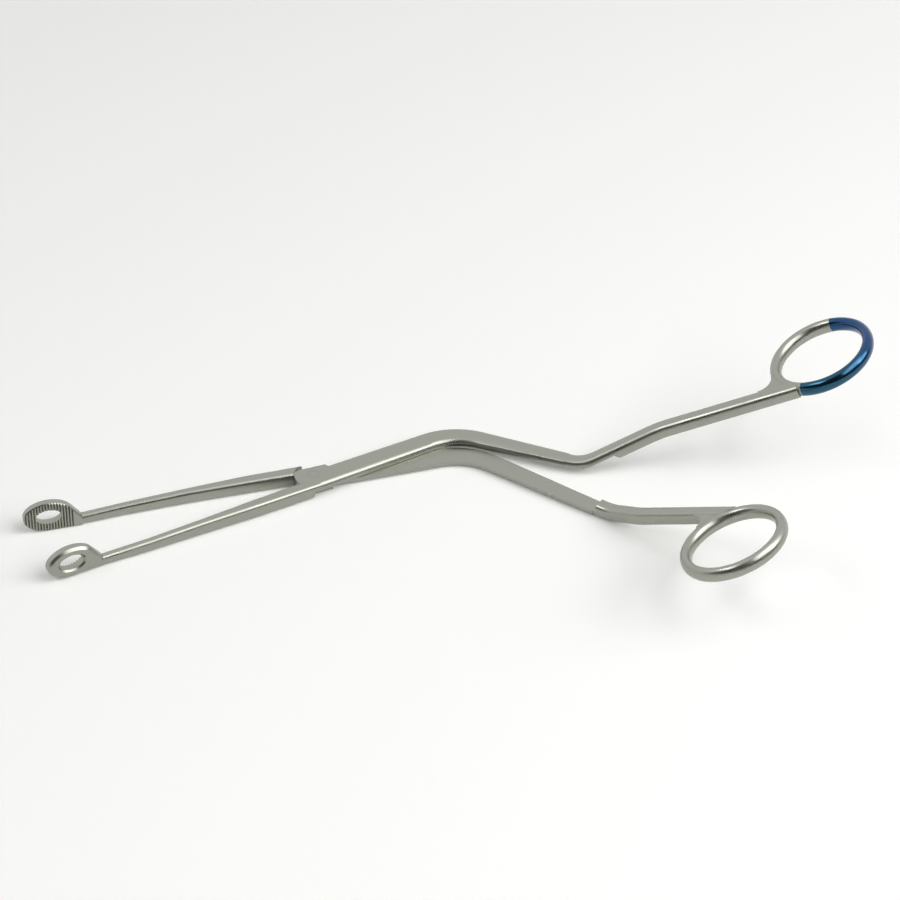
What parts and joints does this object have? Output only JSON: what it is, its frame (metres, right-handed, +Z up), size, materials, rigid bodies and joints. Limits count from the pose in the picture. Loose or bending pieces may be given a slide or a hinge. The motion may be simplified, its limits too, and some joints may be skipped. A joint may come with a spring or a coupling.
{
  "type": "magill forceps",
  "caption": "Angled tube-guiding forceps: crossed steel arms on a riveted lap joint, with oval windowed jaws, grooved grips, raised offset handles and round finger rings.",
  "frame": {"origin": "foot of the pivot axis, on the surface that the instrument lies on", "axes": "+Z up along the pivot axis, -X towards the jaws along the line that halves their opening, +Y towards the far jaw"},
  "size_m": [0.2455, 0.1214, 0.0419],
  "materials": {
    "far_arm_steel": "satin forged stainless steel",
    "near_arm_steel": "satin forged stainless steel",
    "rivet_steel": "ground flush stainless steel",
    "blue_band": "glossy blue colour-code coat"
  },
  "bodies": {
    "near_side": {"near_arm": "near_arm_steel", "pivot_rivet": "rivet_steel"},
    "far_side": {"far_arm": "far_arm_steel", "colour_band": "blue_band"}
  },
  "joints": [
    {"name": "arms_pivot", "type": "hinge", "parent": "near_side", "child": "far_side", "pos_m": [0, 0, 0.00225], "axis": [0, 0, 1], "range_deg": [-13.5, 15]}
  ]
}
